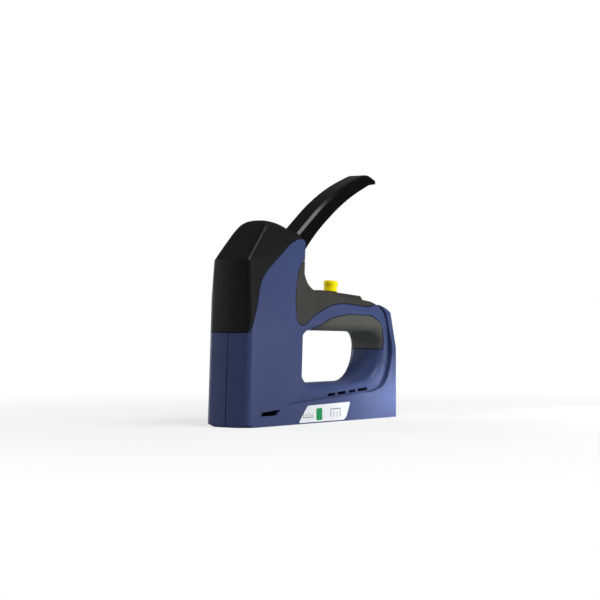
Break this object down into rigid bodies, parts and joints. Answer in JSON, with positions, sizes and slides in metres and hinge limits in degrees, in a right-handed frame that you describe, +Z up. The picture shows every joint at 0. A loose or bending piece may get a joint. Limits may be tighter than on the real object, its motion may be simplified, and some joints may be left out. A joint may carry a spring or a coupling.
{
  "type": "hand staple tacker",
  "caption": "Hand-squeezed staple tacker: a sprung plunger in the nose drives staples fed from a rail in the sole; a lever over the handle loads it.",
  "frame": {"origin": "on the sole, midway along and across the body", "axes": "-X towards the nose that fires the staple, +X towards the rear face, +Y to the tool's right, +Z up"},
  "size_m": [0.182, 0.0386, 0.1849],
  "materials": {
    "body_plastic": "moulded dark violet-blue plastic with a fine satin grain",
    "cap_plastic": "near-black satin plastic",
    "lever_plastic": "black plastic with a shine",
    "soft_grip": "soft-touch dark skin",
    "finger_rubber": "dark grey soft rubber",
    "knob_plastic": "bright yellow plastic",
    "black_trim": "black plastic trim",
    "steel": "zinc-plated steel",
    "hard_steel": "hardened steel",
    "spring_steel": "oiled spring steel",
    "bumper_rubber": "black rubber"
  },
  "bodies": {
    "root": {"shell_left": "body_plastic", "shell_right": "body_plastic", "housing_screws": "steel", "nose_cap": "cap_plastic", "grip_saddle": "soft_grip", "finger_grip": "finger_rubber", "selector_plate": "black_trim", "detent_spring": "spring_steel", "lever_pin": "steel", "plunger_guide": "steel", "upper_spring_seat": "steel", "main_spring": "spring_steel", "plunger_bumper": "bumper_rubber", "nose_plate": "hard_steel", "magazine_channel": "steel", "latch_pin": "steel", "latch_spring": "spring_steel"},
    "lever": {"lever_shell": "lever_plastic", "lever_arm": "steel", "lever_rivets": "steel", "lift_roller": "steel", "roller_pin": "steel", "lever_bush": "steel", "lever_spring": "spring_steel"},
    "plunger": {"plunger": "hard_steel", "driver_blade": "hard_steel", "blade_pin": "steel"},
    "selector": {"selector_knob": "knob_plastic", "selector_bar": "black_trim"},
    "magazine": {"magazine_core": "steel", "magazine_end_cap": "black_trim", "core_rivets": "steel", "pusher_spring": "spring_steel"},
    "pusher": {"pusher": "steel"},
    "latch": {"magazine_latch": "black_trim"}
  },
  "joints": [
    {"name": "lever_hinge", "type": "hinge", "parent": "root", "child": "lever", "pos_m": [-0.0305, 0, 0.112], "axis": [0, 1, 0], "range_deg": [0, 38], "stiffness_Nm_per_rad": 0.6, "springref_deg": -20.05, "deforming": ["lever_spring"]},
    {"name": "plunger_slide", "type": "slide", "parent": "root", "child": "plunger", "axis": [0, 0, 1], "range_m": [0, 0.01568], "deforming": ["main_spring"]},
    {"name": "selector_slide", "type": "slide", "parent": "root", "child": "selector", "axis": [0.9926, 0, -0.1217], "range_m": [-0.009, 0.009]},
    {"name": "magazine_slide", "type": "slide", "parent": "root", "child": "magazine", "axis": [1, 0, 0], "range_m": [0, 0.11]},
    {"name": "pusher_slide", "type": "slide", "parent": "magazine", "child": "pusher", "axis": [1, 0, 0], "range_m": [0, 0.105], "stiffness_N_per_m": 20, "springref_m": -0.05, "deforming": ["pusher_spring"]},
    {"name": "latch_press", "type": "hinge", "parent": "root", "child": "latch", "pos_m": [0.0805, 0, 0.0245], "axis": [0, -1, 0], "range_deg": [0, 10], "stiffness_Nm_per_rad": 0.2, "springref_deg": -5.73, "deforming": ["latch_spring"]}
  ],
  "couplings": [
    {"joint": "plunger_slide", "follows": "lever_hinge", "m_per_rad": 0.023563}
  ]
}
